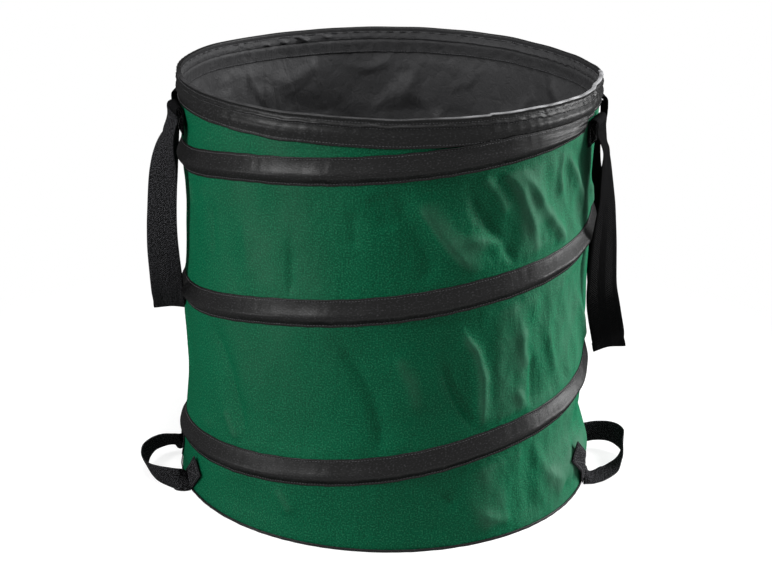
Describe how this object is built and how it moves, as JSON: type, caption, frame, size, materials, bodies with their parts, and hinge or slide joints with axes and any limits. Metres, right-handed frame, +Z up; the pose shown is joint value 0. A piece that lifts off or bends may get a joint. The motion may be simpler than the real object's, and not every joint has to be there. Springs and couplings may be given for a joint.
{
  "type": "pop-up garden waste bag",
  "caption": "Round pop-up garden waste bag: cloth wall on a spiral spring in a sewn sleeve, wire rim with band and binding, hanging webbing carry handles, grab loops at the foot.",
  "frame": {"origin": "middle of the base, on the face that the bag stands on", "axes": "+Z up out of the open mouth, +X towards the right-hand carry handle, -Y the side that faces the picture's camera"},
  "size_m": [0.5657, 0.4764, 0.468],
  "materials": {
    "green_polyester": "woven polyester cloth, matt outside",
    "dark_coated_cloth": "dark coated cloth with a soft sheen",
    "black_cloth_tape": "black cloth tape, satin",
    "black_webbing": "black woven webbing, matt",
    "spring_steel": "drawn spring steel wire"
  },
  "bodies": {
    "base": {"base_panel": "green_polyester", "base_lining": "dark_coated_cloth", "base_hoop": "spring_steel", "base_casing": "dark_coated_cloth", "base_piping": "dark_coated_cloth", "wall_panel": "green_polyester", "wall_lining": "dark_coated_cloth", "spiral_spring": "spring_steel", "spiral_sleeve": "black_cloth_tape", "left_grab_front_end": "black_webbing", "left_grab_rear_end": "black_webbing", "right_grab_front_end": "black_webbing", "right_grab_rear_end": "black_webbing"},
    "rim": {"rim_band": "black_cloth_tape", "rim_facing": "dark_coated_cloth", "rim_hoop": "spring_steel", "rim_binding": "black_cloth_tape", "left_carry_front_end": "black_webbing", "left_carry_rear_end": "black_webbing", "right_carry_front_end": "black_webbing", "right_carry_rear_end": "black_webbing"},
    "left_handle": {"left_carry_handle": "black_webbing"},
    "right_handle": {"right_carry_handle": "black_webbing"},
    "left_grab": {"left_grab_loop": "black_webbing"},
    "right_grab": {"right_grab_loop": "black_webbing"}
  },
  "joints": [
    {"name": "collapse", "type": "slide", "parent": "base", "child": "rim", "axis": [0, 0, -1], "range_m": [0, 0.395], "stiffness_N_per_m": 30, "springref_m": -0.2, "deforming": ["wall_panel", "wall_lining", "spiral_sleeve", "spiral_spring", "left_carry_handle", "right_carry_handle"]},
    {"name": "left_handle_lift", "type": "hinge", "parent": "rim", "child": "left_handle", "pos_m": [-0.2339, -0.01636, 0.432], "axis": [0.0698, -0.9976, 0], "range_deg": [-170, 0], "deforming": ["left_carry_front_end", "left_carry_rear_end"]},
    {"name": "right_handle_lift", "type": "hinge", "parent": "rim", "child": "right_handle", "pos_m": [0.23189, -0.03466, 0.432], "axis": [0.1478, 0.989, 0], "range_deg": [-170, 0], "deforming": ["right_carry_front_end", "right_carry_rear_end"]},
    {"name": "left_grab_lift", "type": "hinge", "parent": "base", "child": "left_grab", "pos_m": [-0.22771, -0.05257, 0.0088], "axis": [-0.225, 0.9744, 0], "range_deg": [-9, 40]},
    {"name": "right_grab_lift", "type": "hinge", "parent": "base", "child": "right_grab", "pos_m": [0.23281, -0.02037, 0.0088], "axis": [-0.0872, -0.9962, 0], "range_deg": [-9, 40]}
  ]
}
